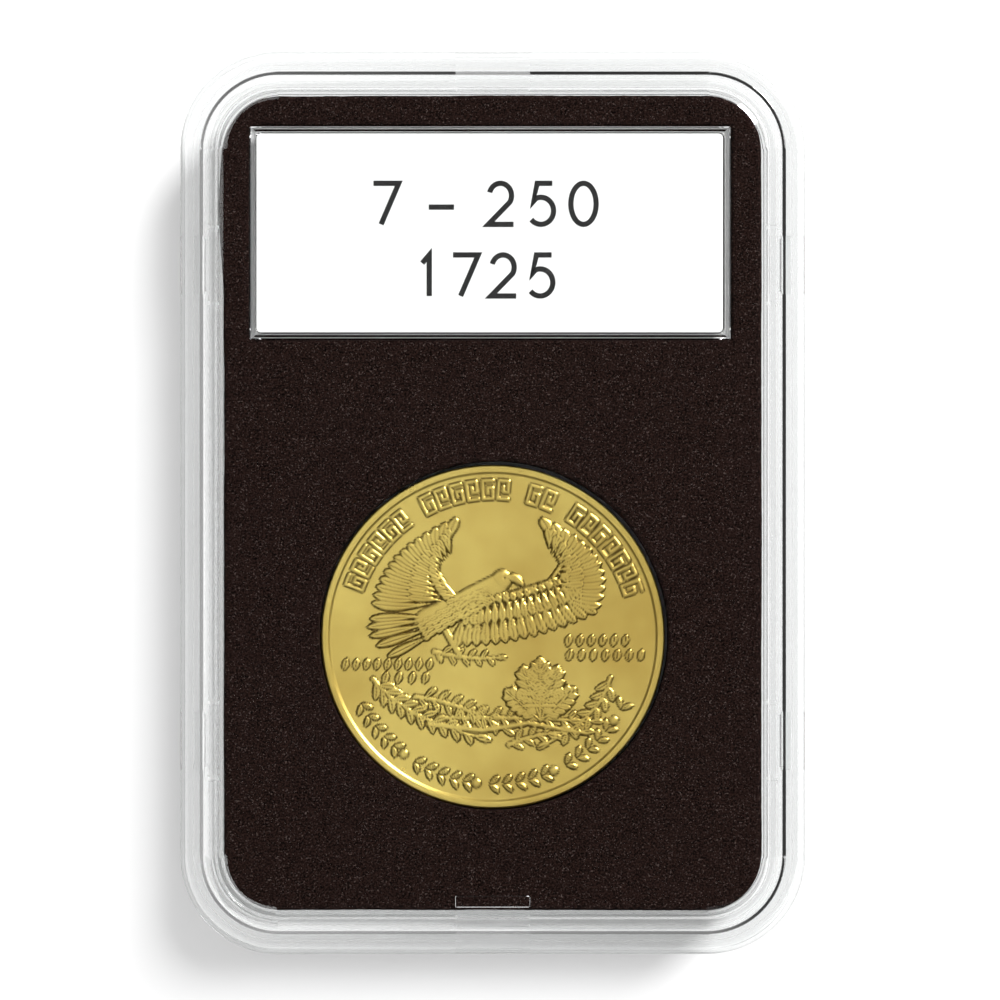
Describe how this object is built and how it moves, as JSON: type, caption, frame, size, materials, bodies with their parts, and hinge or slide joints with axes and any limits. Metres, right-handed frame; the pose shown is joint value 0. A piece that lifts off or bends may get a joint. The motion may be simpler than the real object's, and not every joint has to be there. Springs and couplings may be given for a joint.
{
  "type": "coin capsule",
  "caption": "Clear rectangular snap-together coin slab with a black foam insert, a round coin in its seat and a white label card.",
  "frame": {"origin": "middle of the rest face, which is the rim round the back window, so the case stands on Z = 0 lying on its back", "axes": "+X to the right of the front face, +Y up the front face towards the label end, +Z out of the front window"},
  "size_m": [0.0592, 0.0856, 0.0086],
  "materials": {
    "clear_plastic": "clear polished polystyrene",
    "foam": "matte closed-cell foam, very dark brown-black with fine lighter cells",
    "gold": "bright struck gold with a satin relief and a reeded edge",
    "card": "plain white card with black printed numerals"
  },
  "bodies": {
    "back": {"back_shell": "clear_plastic"},
    "front": {"front_shell": "clear_plastic"},
    "foam": {"foam_insert": "foam"},
    "coin": {"coin": "gold"},
    "label": {"label_card": "card"}
  },
  "joints": [
    {"name": "front_lift", "type": "slide", "parent": "back", "child": "front", "axis": [0, 0, 1], "range_m": [0, 0.04]},
    {"name": "label_drop", "type": "slide", "parent": "front", "child": "label", "axis": [0, 0, -1], "range_m": [0, 0.01]},
    {"name": "foam_lift", "type": "slide", "parent": "back", "child": "foam", "axis": [0, 0, 1], "range_m": [0, 0.01]},
    {"name": "coin_lift", "type": "slide", "parent": "foam", "child": "coin", "axis": [0, 0, 1], "range_m": [0, 0.01]}
  ],
  "couplings": [
    {"joint": "label_drop", "follows": "front_lift", "ratio": 0.25},
    {"joint": "foam_lift", "follows": "front_lift", "ratio": 0.25},
    {"joint": "coin_lift", "follows": "front_lift", "ratio": 0.25}
  ]
}
